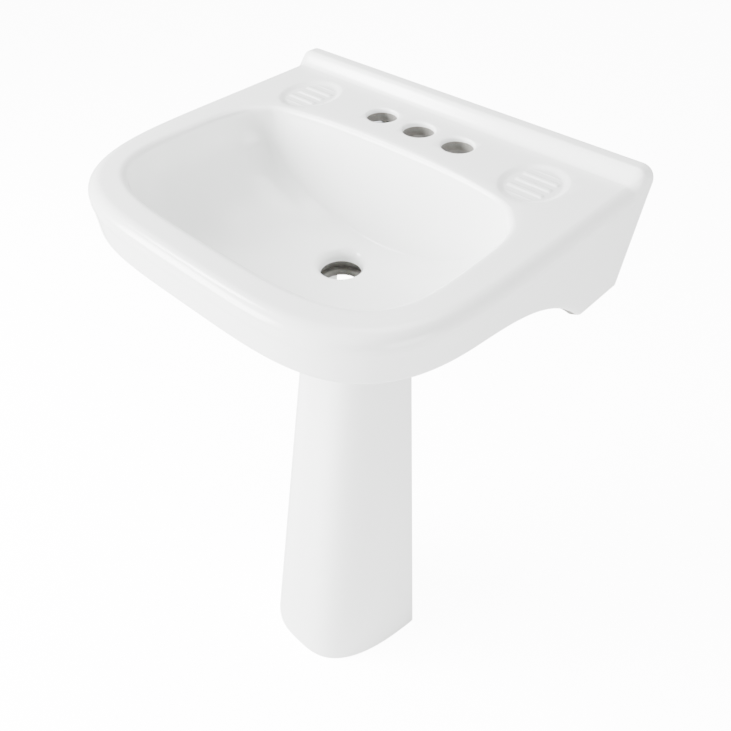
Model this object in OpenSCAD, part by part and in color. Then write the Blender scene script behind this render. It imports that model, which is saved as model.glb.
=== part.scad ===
// Pedestal wash basin: a china basin bolted to the wall and carried by a hollow china column.
// Distances from the wall are measured in -Y and depths below the deck in -Z, then everything is
// lifted so that the floor is Z = 0 and the middle of the whole object is Y = 0.

/* [Basin outline] */
// Width of the basin at the wall
basin_w = 456; // [400:1:560]
// Depth of the basin from the wall to the front of the rim
basin_d = 384; // [340:1:470]
// Height of the deck above the floor
deck_h = 800; // [640:1:980]
// How much each side draws in per millimetre away from the wall
side_taper = 0.029; // [0:0.001:0.06]
// Length of the rounded front of the outline
front_len = 228; // [190:1:250]
// Squareness of the outline's front corners
front_power = 4; // [3:0.1:5]
// Radius of the rim's outer edge
rim_r = 13; // [8:1:15]
// Thickness of the deck
deck_t = 14; // [12:1:18]
// Thickness of the apron, the legs and the back wall
skirt_t = 13; // [11:1:16]
// How much the apron and legs draw in per millimetre of depth
skirt_draft = 0.043; // [0.02:0.001:0.08]
// Depth of the apron below the deck at the front and sides
apron_h = 50; // [44:1:70]
// Depth of the two legs below the deck at the wall
leg_h = 131; // [110:1:150]
// Length of a leg's flat bottom from the wall
leg_len = 66; // [50:1:80]
// Length of the arch between a leg and the apron
arch_len = 191; // [140:1:220]
// Sharpness of the arch, from a straight line upwards
arch_power = 2.1; // [1.5:0.1:3]
// Depth of the back wall between the legs
back_h = 96; // [86:1:106]

/* [Lip along the wall] */
// Height of the lip above the deck
lip_h = 13; // [8:1:18]
// Distance from the wall to the foot of the lip
lip_foot = 31; // [28:1:38]
// Distance from the wall to the front of the lip's top
lip_top = 14; // [10:1:18]
// Radius of the lip's back edge
lip_r = 4; // [2:0.5:6]

/* [Bowl] */
// Width of the rim beside the bowl, at the front of the straight sides
rim_side = 42; // [34:1:50]
// Width of the rim in front of the bowl
rim_front = 36.5; // [30:0.5:46]
// Distance from the wall to the bowl's back edge
deck_d = 115.5; // [108:0.5:124]
// Distance from the wall to the crease below the back slope
crease_d = 142; // [134:1:150]
// How far each end of the crease is in from the bowl's side
crease_inset = 21.5; // [18:0.5:30]
// Depth of the crease at the middle
crease_h = 102; // [90:0.5:104]
// Distance from the wall to the middle of the bowl's widest part
bowl_mid_d = 218; // [206:1:228]
// Squareness of the bowl's opening
bowl_power = 3.9; // [3:0.1:4.2]
// Roundness of the bowl's section, from a cone towards a box
section_power = 2.2; // [2:0.1:3]
// Depth of the bowl at the waste recess
bowl_h = 105; // [104:1:114]
// Radius of the bowl's top edge
edge_r = 7; // [4:0.5:8]
// Thickness of the bowl's wall
bowl_t = 11; // [9:1:13]

/* [Waste and overflow] */
// Distance from the wall to the waste hole
waste_d = 191; // [189:1:198]
// Radius of the waste hole
waste_r = 22.5; // [20:0.5:24]
// Radius of the recess round the waste hole
recess_r = 30; // [28:0.5:32]
// Depth of that recess below the bowl
recess_h = 10; // [8:0.5:14]
// Radius of the overflow chamber round the waste hole
chamber_r = 29; // [27:0.5:31]
// Height of the overflow chamber
chamber_h = 10.5; // [9:0.5:14]
// Thickness of china above the overflow chamber
chamber_roof = 5; // [4:0.5:8]
// Thickness of china below the overflow chamber
chamber_floor = 8; // [7:0.5:12]

/* [Tap holes and soap dishes] */
// Number of tap holes
tap_n = 3; // [1:2:3]
// Spacing of the tap holes
tap_pitch = 50.8; // [48:0.1:60]
// Radius of a tap hole
tap_r = 17; // [14:0.5:18]
// Distance from the wall to the tap holes
tap_d = 70; // [64:0.5:76]
// Distance between the middles of the two soap dishes
dish_pitch = 297; // [280:1:300]
// Distance from the wall to the middles of the soap dishes
dish_d = 82; // [78:1:86]
// Half width of a soap dish
dish_w = 33; // [26:1:36]
// Half depth of a soap dish
dish_l = 41; // [30:1:42]
// Depth of a soap dish below the deck
dish_h = 2.5; // [1.5:0.5:4]
// Number of drainage ribs in a soap dish
dish_ribs = 3; // [1:1:4]

/* [Column] */
// Half width of the column's top
column_top_w = 61; // [56:1:76]
// Half width of the column's foot
column_foot_w = 117.5; // [100:0.5:142]
// Distance from the wall to the open back of the column's top
column_top_d = 144; // [140:1:150]
// Distance from the wall to the open back of the column's foot
column_foot_d = 162; // [154:1:170]
// Depth of the column's top from its open back to its nose
column_top_l = 75.5; // [72:0.5:90]
// Depth of the column's foot from its open back to its nose
column_foot_l = 155; // [140:1:186]
// Squareness of the column's nose
column_power = 3; // [2.6:0.1:4]
// How much the column's sides draw in per millimetre towards the nose
column_taper = 0.165; // [0.05:0.005:0.25]
// Thickness of the column's wall
column_t = 12; // [10:1:14]
// Radius of the column's bottom edge
column_edge = 4; // [2:0.5:6]
// Thickness of the rubber seat pads
pad_t = 4; // [3:0.5:6]
// Side of a rubber seat pad
pad_w = 12; // [8:1:12]
// How far the flat seat under the bowl reaches past the column's top
seat_rim = 10; // [7:1:12]

/* [Floor lugs] */
// Distance between the two floor screw holes
floor_pitch = 140; // [120:1:150]
// Distance from the wall to the floor screw holes
floor_d = 205; // [195:1:215]
// Radius of a floor screw hole
floor_r = 4.5; // [3:0.5:6]
// Thickness of a floor lug
lug_t = 14; // [10:1:20]
// Depth of a floor lug from back to front
lug_l = 34; // [28:1:40]

/* [Wall fixings] */
// Distance between the two hanger bolts
bolt_pitch = 200; // [160:1:240]
// Depth of the hanger bolts below the deck
bolt_h = 52; // [44:1:60]
// Radius of a hanger bolt
bolt_r = 5; // [4:0.5:6]
// How far a hanger bolt stands out behind the basin
bolt_out = 60; // [40:1:80]
// How far a hanger bolt stands out inside its nut
bolt_tip = 6; // [3:1:10]
// Radial gap between a bolt and the hole in its sleeve or washer
bolt_gap = 0.3; // [0.2:0.05:0.5]
// Wall thickness of a nylon sleeve
sleeve_t = 1.7; // [1.2:0.1:2.5]
// Radial gap between a sleeve and the hole in the china
sleeve_gap = 0.5; // [0.3:0.1:1]
// Radius of a sleeve's flange and of a steel washer
washer_r = 14; // [11:0.5:16]
// Thickness of a sleeve's flange
flange_t = 2; // [1.5:0.5:3]
// Thickness of a steel washer
washer_t = 2.5; // [1.5:0.5:3]
// Width of a nut across its flats
nut_w = 17; // [15:1:19]
// Thickness of a nut
nut_t = 8; // [6:1:10]

/* [Hidden] */
$fn = 64;

// Colours of the glazed china, the rubber, the nylon and the plated steel
china = [0.95, 0.955, 0.95];
rubber = [0.2, 0.2, 0.2];
nylon = [0.9, 0.9, 0.86];
steel = [0.66, 0.67, 0.69];

// How far a cutter runs past the face that it cuts
past = 1;
// Intervals along the back of every ring, and along its sides and front together
back_n = 22;
front_n = 76;
ring_n = back_n + front_n;
// How much closer the points stand towards the wall, on an outer ring and round the opening
crowding = 0.5;
open_crowding = 0.9;

// Everything below is measured from the wall and the deck, and stands on these two lifts
mid_y = (basin_d - bolt_out) / 2;
module at_deck() { translate([0, mid_y, deck_h]) children(); }
module at_floor() { translate([0, mid_y, 0]) children(); }

function lerp(a, b, f) = a + (b - a) * f;
function crowd(t, share) = t - share * sin(360 * t) / (2 * PI);
function smooth(f) = let (c = min(1, max(0, f))) c * c * (3 - 2 * c);
// Radius of a superellipse with half axes a and b in a direction
function super_r(dir, a, b, n) =
    pow(pow(abs(cos(dir)) / a, n) + pow(abs(sin(dir)) / b, n), -1 / n);
// Points of a torus-like skin made of closed rings, and the triangles between them
function skin_faces(rings, count) = [
    for (k = [0 : rings - 1], j = [0 : count - 1])
        let (n = (k + 1) % rings, m = (j + 1) % count)
            each [[k * count + j, n * count + j, k * count + m],
                [n * count + j, n * count + m, k * count + m]]
];

// --- Opening of the bowl ---------------------------------------------------------------------
bowl_w = basin_w / 2 - side_taper * bowl_mid_d - rim_side;
crease_w = bowl_w - crease_inset;
bowl_front = basin_d - rim_front - bowl_mid_d;
bowl_back = (bowl_mid_d - crease_d)
    / pow(1 - pow(crease_w / bowl_w, bowl_power), 1 / bowl_power);
open_from = atan2(bowl_mid_d - crease_d, crease_w);

function open_pt(j) =
    j <= back_n
    ? let (a = 180 - 180 * j / back_n)
        [crease_w * cos(a), -crease_d + (crease_d - deck_d) * sin(a)]
    : let (a = open_from - (180 + 2 * open_from) * crowd((j - back_n) / front_n, open_crowding),
        r = super_r(a, bowl_w, sin(a) > 0 ? bowl_back : bowl_front, bowl_power))
        [r * cos(a), r * sin(a) - bowl_mid_d];

// Direction and distance of an opening point from the waste hole
function open_dir(j) = let (p = open_pt(j)) atan2(p.y + waste_d, p.x);
function open_r(j) = let (p = open_pt(j)) norm([p.x, p.y + waste_d]);
function at_dir(j, r, z) = [r * cos(open_dir(j)), r * sin(open_dir(j)) - waste_d, z];

// --- Inside of the bowl ----------------------------------------------------------------------
// The bowl runs from the recess to the crease, or to the rim where there is no crease, and the
// back slope runs straight from the crease to the deck.
bowl_start = recess_r + 3;
slope_share = 0.96;
function crease_r(j) =
    let (p = open_pt(j), edge = open_r(j), reach = p.y + waste_d)
        j > back_n ? edge * slope_share
        : min(edge * slope_share, edge * (waste_d - crease_d) / reach);
function crease_z(j) =
    let (x = crease_r(j) * cos(open_dir(j)) / crease_w)
        edge_r + (crease_h - edge_r) * sqrt(max(0, 1 - x * x));
// Reach at which the bowl's curve would come up to the rim
function curve_r(j) =
    j > back_n ? open_r(j)
    : let (m = pow((crease_z(j) - edge_r) / (bowl_h - edge_r), section_power),
        c = pow(crease_r(j), section_power), s = pow(bowl_start, section_power))
        pow((c - m * s) / (1 - m), 1 / section_power);
function curve_h(j) =
    (bowl_h - edge_r)
    / pow(1 - pow(bowl_start / curve_r(j), section_power), 1 / section_power);
function curve_z(j, r) =
    edge_r + curve_h(j)
        * pow(max(0, 1 - pow(r / curve_r(j), section_power)), 1 / section_power);
function slope_r(j, f) = lerp(crease_r(j), open_r(j), f);
function slope_z(j, f) =
    j > back_n ? curve_z(j, slope_r(j, f)) : lerp(curve_z(j, crease_r(j)), edge_r, f);
// Reach of the inner surface at a depth
function inner_r(j, depth) =
    j <= back_n && depth < curve_z(j, crease_r(j))
    ? lerp(crease_r(j), open_r(j),
        (curve_z(j, crease_r(j)) - depth) / (curve_z(j, crease_r(j)) - edge_r))
    : curve_r(j)
        * pow(max(0, 1 - pow((depth - edge_r) / curve_h(j), section_power)), 1 / section_power);

// --- Outline of the deck, the apron and the legs ----------------------------------------------
// inset is measured from the widest outline, and back from the wall
corner_y = basin_d - front_len;
function side_x(inset) = basin_w / 2 - inset;
function outer_pt(j, inset, back) =
    j <= back_n
    ? [-side_x(inset) * cos(180 * j / back_n), -back]
    : let (from = atan2(corner_y - back, side_x(inset)), t = (j - back_n) / front_n,
        a = from - (180 + 2 * from) * crowd(t, crowding),
        mid = side_x(inset) - side_taper * corner_y,
        r = super_r(a, mid, front_len - inset, front_power),
        x = mid / (1 - side_taper * tan(abs(a) < 90 ? a : 180 - a)))
        sin(a) > 0
        ? [(cos(a) > 0 ? 1 : -1) * x, abs(tan(a)) * x - corner_y]
        : [r * cos(a) * (1 - side_taper * abs(r * sin(a)) / mid), r * sin(a) - corner_y];

// Depth of the lower edge: legs at the wall, an arch, then the apron
function lower_z(j) =
    let (p = outer_pt(j, 0, 0), rise = min(1, max(0, (-p.y - leg_len) / arch_len)))
        j > 0 && j < back_n
        ? lerp(leg_h, back_h, smooth((side_x(0) - abs(p.x)) / leg_len))
        : lerp(apron_h, leg_h, pow(1 - rise, arch_power));
// Depth of the hollow's ceiling, which is deeper in front, where the rim is solid
function ceiling_z(j) =
    let (p = outer_pt(j, 0, 0))
        lerp(deck_t, apron_h * 0.62, smooth((-p.y - bowl_mid_d) / (basin_d - rim_front - bowl_mid_d)));
// Flat seat over the column's top, round the waste hole and below the overflow chamber
hole_z = bowl_h + recess_h;
seat_z = hole_z + chamber_roof + chamber_h + chamber_floor;
function seat_r(j) =
    let (a = open_dir(j), front = column_top_d + column_top_l - waste_d + seat_rim,
        back = waste_d - column_top_d + seat_rim)
        super_r(a, column_top_w + seat_rim, sin(a) > 0 ? back : front, column_power);

// --- The basin's rings, from the waste hole out over the deck and back underneath ---------------
recess_n = 4;
curve_n = 7;
slope_n = 3;
edge_n = 3;
rim_n = 6;
skirt_n = 3;
under_n = 3;

function circle_ring(r, z) = [for (j = [0 : ring_n - 1]) at_dir(j, r, -z)];
function blend_ring(a, b, f) = [for (j = [0 : ring_n - 1]) lerp(a[j], b[j], f)];
// Height of the lip at a distance from the wall, and the drop of the rounded edge at an inset
function lip_z(from_wall) = lip_h * smooth((lip_foot - from_wall) / (lip_foot - lip_top));
function edge_drop(inset) =
    let (c = rim_r - min(rim_r, max(0, inset))) rim_r - sqrt(rim_r * rim_r - c * c);
function rim_ring(f) = [
    for (j = [0 : ring_n - 1])
        let (inset = rim_r * (1 - sin(90 * f)), p = outer_pt(j, inset, lerp(lip_foot, lip_r, f)))
            [p.x, p.y, lip_z(-p.y) - edge_drop(j <= back_n ? side_x(0) - abs(p.x) : inset)]
];
// Rounds the lip's back edge down to the wall, while the sides go straight down
function wall_ring(f) = [
    for (j = [0 : ring_n - 1])
        let (p = outer_pt(j, 0, lip_r * (1 - sin(90 * f))), round = lip_r * (1 - cos(90 * f)))
            [p.x, p.y, lip_z(-p.y) - round - edge_drop(j <= back_n ? side_x(0) - abs(p.x) : 0)]
];
function skirt_ring(f, inset, up) = [
    for (j = [0 : ring_n - 1])
        let (z = lerp(rim_r + 2 * lip_r, lower_z(j) - up, f),
            p = outer_pt(j, skirt_draft * z + inset, inset))
            [p.x, p.y, -z]
];
function basin_rings() =
    let (opening = [for (j = [0 : ring_n - 1]) at_dir(j, open_r(j) + edge_r, 0)],
        foot = rim_ring(0))
    concat(
        [circle_ring(waste_r - past, hole_z)],
        [for (k = [0 : recess_n]) let (a = 90 * k / recess_n)
            circle_ring(lerp(waste_r + past / 2, bowl_start, 1 - cos(a)), lerp(hole_z, bowl_h, sin(a)))],
        [for (k = [1 : curve_n]) [for (j = [0 : ring_n - 1])
            let (r = lerp(bowl_start, crease_r(j), sin(90 * k / curve_n)))
                at_dir(j, r, -curve_z(j, r))]],
        [for (k = [1 : slope_n]) [for (j = [0 : ring_n - 1])
            at_dir(j, slope_r(j, k / slope_n), -slope_z(j, k / slope_n))]],
        [for (k = [1 : edge_n - 1]) let (a = 90 * k / edge_n) [for (j = [0 : ring_n - 1])
            at_dir(j, open_r(j) + edge_r * (1 - cos(a)), -edge_r * (1 - sin(a)))]],
        [opening, blend_ring(opening, foot, 0.5)],
        [for (k = [0 : rim_n]) rim_ring(k / rim_n)],
        [wall_ring(0.5), wall_ring(1)],
        [for (k = [0 : skirt_n]) skirt_ring(k / skirt_n, 0, skirt_t / 3)],
        [skirt_ring(1, skirt_t / 3, 0), skirt_ring(1, skirt_t * 0.7, 0)],
        [skirt_ring(1, skirt_t, skirt_t / 3)],
        [[for (j = [0 : ring_n - 1])
            let (z = ceiling_z(j), p = outer_pt(j, skirt_draft * z + skirt_t, skirt_t))
                [p.x, p.y, -z]]],
        [for (k = [0 : under_n]) [for (j = [0 : ring_n - 1])
            let (z = lerp(ceiling_z(j), crease_h - edge_r, k / under_n))
                at_dir(j, inner_r(j, z) + bowl_t, -z)]],
        [[for (j = [0 : ring_n - 1]) at_dir(j, seat_r(j), 5 - seat_z)]],
        [[for (j = [0 : ring_n - 1]) at_dir(j, seat_r(j) - 3, -seat_z)]],
        [circle_ring(waste_r - past, seat_z)]
    );

module soap_dish(side) {
    translate([side * dish_pitch / 2, -dish_d, -dish_h])
        difference() {
            linear_extrude(dish_h + past)
                polygon([for (a = [0 : 10 : 350]) [dish_w * cos(a), dish_l * sin(a)]]);
            for (k = [0 : dish_ribs - 1])
                translate([-dish_w * 0.6, dish_l * (k - (dish_ribs - 1) / 2) / dish_ribs - 2, -past])
                    cube([dish_w * 1.2, 4, dish_h + past]);
        }
}

module basin() {
    rings = basin_rings();
    color(china) at_deck() difference() {
        polyhedron(points = [for (r = rings) each r], faces = skin_faces(len(rings), ring_n));
        for (k = [0 : tap_n - 1])
            translate([(k - (tap_n - 1) / 2) * tap_pitch, -tap_d, -deck_t - past])
                cylinder(h = deck_t + 2 * past, r = tap_r);
        translate([0, -waste_d, -hole_z - chamber_roof - chamber_h])
            cylinder(h = chamber_h, r = chamber_r);
        translate([0, -waste_d, -seat_z - past])
            cylinder(h = seat_z - hole_z + 2 * past, r = waste_r);
        for (side = [-1, 1]) {
            soap_dish(side);
            translate([side * bolt_pitch / 2, past, -bolt_h])
                rotate([90, 0, 0]) cylinder(h = skirt_t + 2 * past, r = hole_r);
        }
    }
}

// --- Column ------------------------------------------------------------------------------------
column_h = deck_h - seat_z - pad_t;
column_n = 24;
function column_outline(w, l, inset) = [
    for (k = [0 : column_n])
        let (a = -180 * k / column_n, r = super_r(a, w - inset, l - inset, column_power))
            [r * cos(a) * (1 + column_taper * r * sin(a) / w), r * sin(a)]
];
function column_ring(z, inset) =
    let (f = z / column_h, w = lerp(column_foot_w, column_top_w, f) - inset,
        l = lerp(column_foot_l, column_top_l, f) - inset, d = lerp(column_foot_d, column_top_d, f),
        outside = column_outline(w, l, 0), inside = column_outline(w, l, column_t - 2 * inset))
        [for (p = outside) [p.x, p.y - d, z],
            for (k = [column_n : -1 : 0]) [inside[k].x, inside[k].y - d, z]];
// Half width of the column's foot at a distance in front of its open back
function foot_x(ahead) =
    column_foot_w * pow(1 - pow(ahead / column_foot_l, column_power), 1 / column_power)
    * (1 - column_taper * ahead / column_foot_w);
lug_out = foot_x(floor_d + lug_l / 2 - column_foot_d) - column_t / 2;
lug_in = floor_pitch / 2 - lug_l / 2;
module pedestal() {
    rings = [column_ring(0, column_edge / 2), column_ring(column_edge, 0),
        column_ring(column_h / 3, 0), column_ring(column_h * 2 / 3, 0),
        column_ring(column_h - column_edge, 0), column_ring(column_h, column_edge / 4)];
    count = 2 * column_n + 2;
    last = (len(rings) - 1) * count;
    sides = [for (k = [0 : len(rings) - 2], j = [0 : count - 1])
        let (a = k * count, m = (j + 1) % count)
            each [[a + j, a + m, a + count + j], [a + m, a + count + m, a + count + j]]];
    caps = [for (j = [0 : column_n - 1], base = [0, last])
        let (q = [base + j, base + j + 1, base + count - 2 - j, base + count - 1 - j])
            each base == 0 ? [[q[0], q[3], q[2]], [q[0], q[2], q[1]]]
                : [[q[0], q[1], q[2]], [q[0], q[2], q[3]]]];
    color(china) at_floor() difference() {
        union() {
            polyhedron(points = [for (r = rings) each r], faces = concat(sides, caps));
            for (side = [-1, 1])
                translate([side > 0 ? lug_in : -lug_out, -floor_d - lug_l / 2, 0])
                    cube([lug_out - lug_in, lug_l, lug_t]);
        }
        for (side = [-1, 1])
            translate([side * floor_pitch / 2, -floor_d, -past])
                cylinder(h = lug_t + 2 * past, r = floor_r);
    }
}

// --- Seat pads, on the middle of the column's top edge --------------------------------------------
module seat_pad(side, k) {
    outline = column_outline(column_top_w, column_top_l, column_t / 2);
    p = outline[side > 0 ? k : column_n - k];
    color(rubber) at_floor()
        translate([p.x - pad_w / 2, p.y - column_top_d - pad_w / 2, column_h])
            cube([pad_w, pad_w, pad_t]);
}
module seat_pad_left_front() { seat_pad(-1, 8); }
module seat_pad_right_front() { seat_pad(1, 8); }
module seat_pad_left_rear() { seat_pad(-1, 2); }
module seat_pad_right_rear() { seat_pad(1, 2); }

// --- Wall fixings ----------------------------------------------------------------------------------
sleeve_r = bolt_r + bolt_gap + sleeve_t;
hole_r = sleeve_r + sleeve_gap;
// Puts a child on a bolt's axis, with the child's +Z pointing away from the wall
module on_bolt(side, from_wall) {
    at_deck() translate([side * bolt_pitch / 2, -from_wall, -bolt_h]) rotate([90, 0, 0]) children();
}
stack = skirt_t + flange_t + washer_t;
// The bolt is thicker where it screws into the wall, up to just short of the china
bolt_neck = 1;
shank_r = bolt_r * 0.92;
module hanger_bolt(side) {
    length = bolt_out + stack + nut_t + bolt_tip;
    color(steel) on_bolt(side, -bolt_out) {
        rotate_extrude() polygon([[0, 0], [bolt_r * 0.4, 0], [bolt_r, bolt_r * 1.6],
            [bolt_r, bolt_out - bolt_neck], [shank_r, bolt_out - bolt_neck],
            [shank_r, length - 1], [shank_r - 1, length], [0, length]]);
    }
}
module bolt_sleeve(side) {
    color(nylon) on_bolt(side, 0) difference() {
        union() {
            cylinder(h = skirt_t + flange_t, r = sleeve_r);
            translate([0, 0, skirt_t]) cylinder(h = flange_t, r = washer_r);
        }
        translate([0, 0, -past]) cylinder(h = skirt_t + flange_t + 2 * past, r = bolt_r + bolt_gap);
    }
}
module bolt_washer(side) {
    color(steel) on_bolt(side, skirt_t + flange_t) difference() {
        cylinder(h = washer_t, r = washer_r);
        translate([0, 0, -past]) cylinder(h = washer_t + 2 * past, r = bolt_r + bolt_gap);
    }
}
module bolt_nut(side) {
    color(steel) on_bolt(side, stack) difference() {
        cylinder(h = nut_t, r = nut_w / sqrt(3), $fn = 6);
        translate([0, 0, -past]) cylinder(h = nut_t + 2 * past, r = shank_r);
    }
}
module hanger_bolt_left() { hanger_bolt(-1); }
module hanger_bolt_right() { hanger_bolt(1); }
module bolt_sleeve_left() { bolt_sleeve(-1); }
module bolt_sleeve_right() { bolt_sleeve(1); }
module bolt_washer_left() { bolt_washer(-1); }
module bolt_washer_right() { bolt_washer(1); }
module bolt_nut_left() { bolt_nut(-1); }
module bolt_nut_right() { bolt_nut(1); }

basin();
pedestal();
seat_pad_left_front();
seat_pad_right_front();
seat_pad_left_rear();
seat_pad_right_rear();
hanger_bolt_left();
hanger_bolt_right();
bolt_sleeve_left();
bolt_sleeve_right();
bolt_washer_left();
bolt_washer_right();
bolt_nut_left();
bolt_nut_right();
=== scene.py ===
"""A white china wash basin, its column and its wall fixings, in a pale studio.

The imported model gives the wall, the deck and the box of every node. The pieces are drawn in
millimetres, measured from the wall and from the deck, and Site turns them into the frame's metres.
"""
import logging
import math
from collections.abc import Iterable
from dataclasses import dataclass, field
from enum import Enum

import bmesh
import bpy
import numpy as np
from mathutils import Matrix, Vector


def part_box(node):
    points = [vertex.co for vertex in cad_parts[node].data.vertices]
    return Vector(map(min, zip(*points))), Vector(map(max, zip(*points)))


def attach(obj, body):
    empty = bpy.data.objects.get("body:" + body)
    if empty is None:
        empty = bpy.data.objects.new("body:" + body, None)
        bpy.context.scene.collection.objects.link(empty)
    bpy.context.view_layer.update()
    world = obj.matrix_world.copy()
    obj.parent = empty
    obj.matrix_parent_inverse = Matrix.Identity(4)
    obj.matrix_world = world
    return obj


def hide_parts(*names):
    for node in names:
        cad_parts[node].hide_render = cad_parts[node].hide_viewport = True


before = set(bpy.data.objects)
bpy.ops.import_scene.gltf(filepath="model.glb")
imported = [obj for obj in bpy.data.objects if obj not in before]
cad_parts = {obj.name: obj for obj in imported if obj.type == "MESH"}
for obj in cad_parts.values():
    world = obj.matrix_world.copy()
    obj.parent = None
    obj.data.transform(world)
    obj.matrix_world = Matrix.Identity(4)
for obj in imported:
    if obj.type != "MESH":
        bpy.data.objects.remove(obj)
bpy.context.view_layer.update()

log = logging.getLogger("wash_basin")

MM = 0.001
ROOT = "root"


class Side(Enum):
    """The two ends of the basin, as a person standing at it sees them."""

    LEFT = -1
    RIGHT = 1

    @property
    def word(self) -> str:
        """Name of the side, as the nodes spell it."""
        return self.name.lower()


class Coat(Enum):
    """Material slots of a china piece."""

    GLAZED = 0
    # The bare slot holds unglazed china painted dark as shade.
    BARE = 1


# --- Numbers and lattices ---------------------------------------------------------------------


Number = float | np.ndarray


def lerp(start: Number, end: Number, share: Number) -> Number:
    """Value at a share of the way from start to end."""
    return start + (end - start) * share


def smooth(share: np.ndarray) -> np.ndarray:
    """Eases a share that is clamped to 0..1."""
    kept = np.clip(share, 0.0, 1.0)
    return kept * kept * (3 - 2 * kept)


def super_radius(angle: np.ndarray, a: Number, b: Number, power: float) -> np.ndarray:
    """Radius of a superellipse.

    Args:
        angle: Directions in radians.
        a: Half axis along X.
        b: Half axis along Y.
        power: Squareness; 2 is an ellipse.

    Returns:
        The radius in each direction.
    """
    return ((abs(np.cos(angle)) / a) ** power + (abs(np.sin(angle)) / b) ** power) ** (-1 / power)


def bell(width: float, step: float) -> np.ndarray:
    """Weights of a bell curve of a standard width, sampled at a step."""
    reach = max(1, int(round(3 * width / step)))
    x = np.arange(-reach, reach + 1) * step / width
    weights = np.exp(-x * x / 2)
    return weights / weights.sum()


def softened(line: np.ndarray, width: float, closed: bool, step: float = 0.5) -> np.ndarray:
    """Rounds the corners of a line of points, and keeps each point's place along it.

    Args:
        line: Points as rows, in millimetres.
        width: Standard width of the rounding, in millimetres.
        closed: Whether the line is a ring.
        step: Spacing at which the line is sampled.

    Returns:
        The rounded points. The ends of an open line stay where they are.
    """
    path = np.vstack([line, line[:1]]) if closed else line
    along = np.concatenate([[0.0], np.cumsum(np.linalg.norm(np.diff(path, axis=0), axis=1))])
    count = max(8, int(along[-1] / step))
    at = np.linspace(0.0, along[-1], count + 1)
    dense = np.stack([np.interp(at, along, path[:, i]) for i in range(path.shape[1])], 1)
    weights = bell(width, at[1])
    reach = len(weights) // 2
    if closed:
        body = dense[:-1]
        padded = np.take(body, np.arange(-reach, len(body) + reach), axis=0, mode="wrap")
    else:
        reach = min(reach, count)
        weights = weights[len(weights) // 2 - reach:len(weights) // 2 + reach + 1]
        weights = weights / weights.sum()
        padded = np.vstack([
            2 * dense[0] - dense[reach:0:-1], dense, 2 * dense[-1] - dense[-2:-reach - 2:-1]
        ])
    eased = np.stack([np.convolve(line_i, weights, "valid") for line_i in padded.T], 1)
    if closed:
        eased = np.vstack([eased, eased[:1]])
    kept = along[:-1] if closed else along
    return np.stack([np.interp(kept, at, eased[:, i]) for i in range(dense.shape[1])], 1)


@dataclass(frozen=True)
class Site:
    """Where the wall and the deck stand in the frame, in metres."""

    wall_y: float
    deck_z: float

    def place(self, points: np.ndarray) -> np.ndarray:
        """Turns millimetres from the wall and the deck into metres in the frame."""
        return points * MM + np.array([0.0, self.wall_y, self.deck_z])


# --- Modelling by hand ------------------------------------------------------------------------


def select_only(piece: bpy.types.Object) -> None:
    """Leaves one object selected and active."""
    bpy.ops.object.select_all(action="DESELECT")
    piece.select_set(True)
    bpy.context.view_layer.objects.active = piece


def apply_modifiers(piece: bpy.types.Object) -> None:
    """Applies every modifier of an object, from the first."""
    select_only(piece)
    for modifier in list(piece.modifiers):
        bpy.ops.object.modifier_apply(modifier=modifier.name)


def apply_place(piece: bpy.types.Object) -> None:
    """Moves an object's place, turn and size into its mesh."""
    select_only(piece)
    bpy.ops.object.transform_apply(location=True, rotation=True, scale=True)


def shade(piece: bpy.types.Object, angle: float = 35.0) -> None:
    """Shades an object smooth, with hard edges past an angle in degrees."""
    select_only(piece)
    bpy.ops.object.shade_smooth_by_angle(angle=math.radians(angle))


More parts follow.
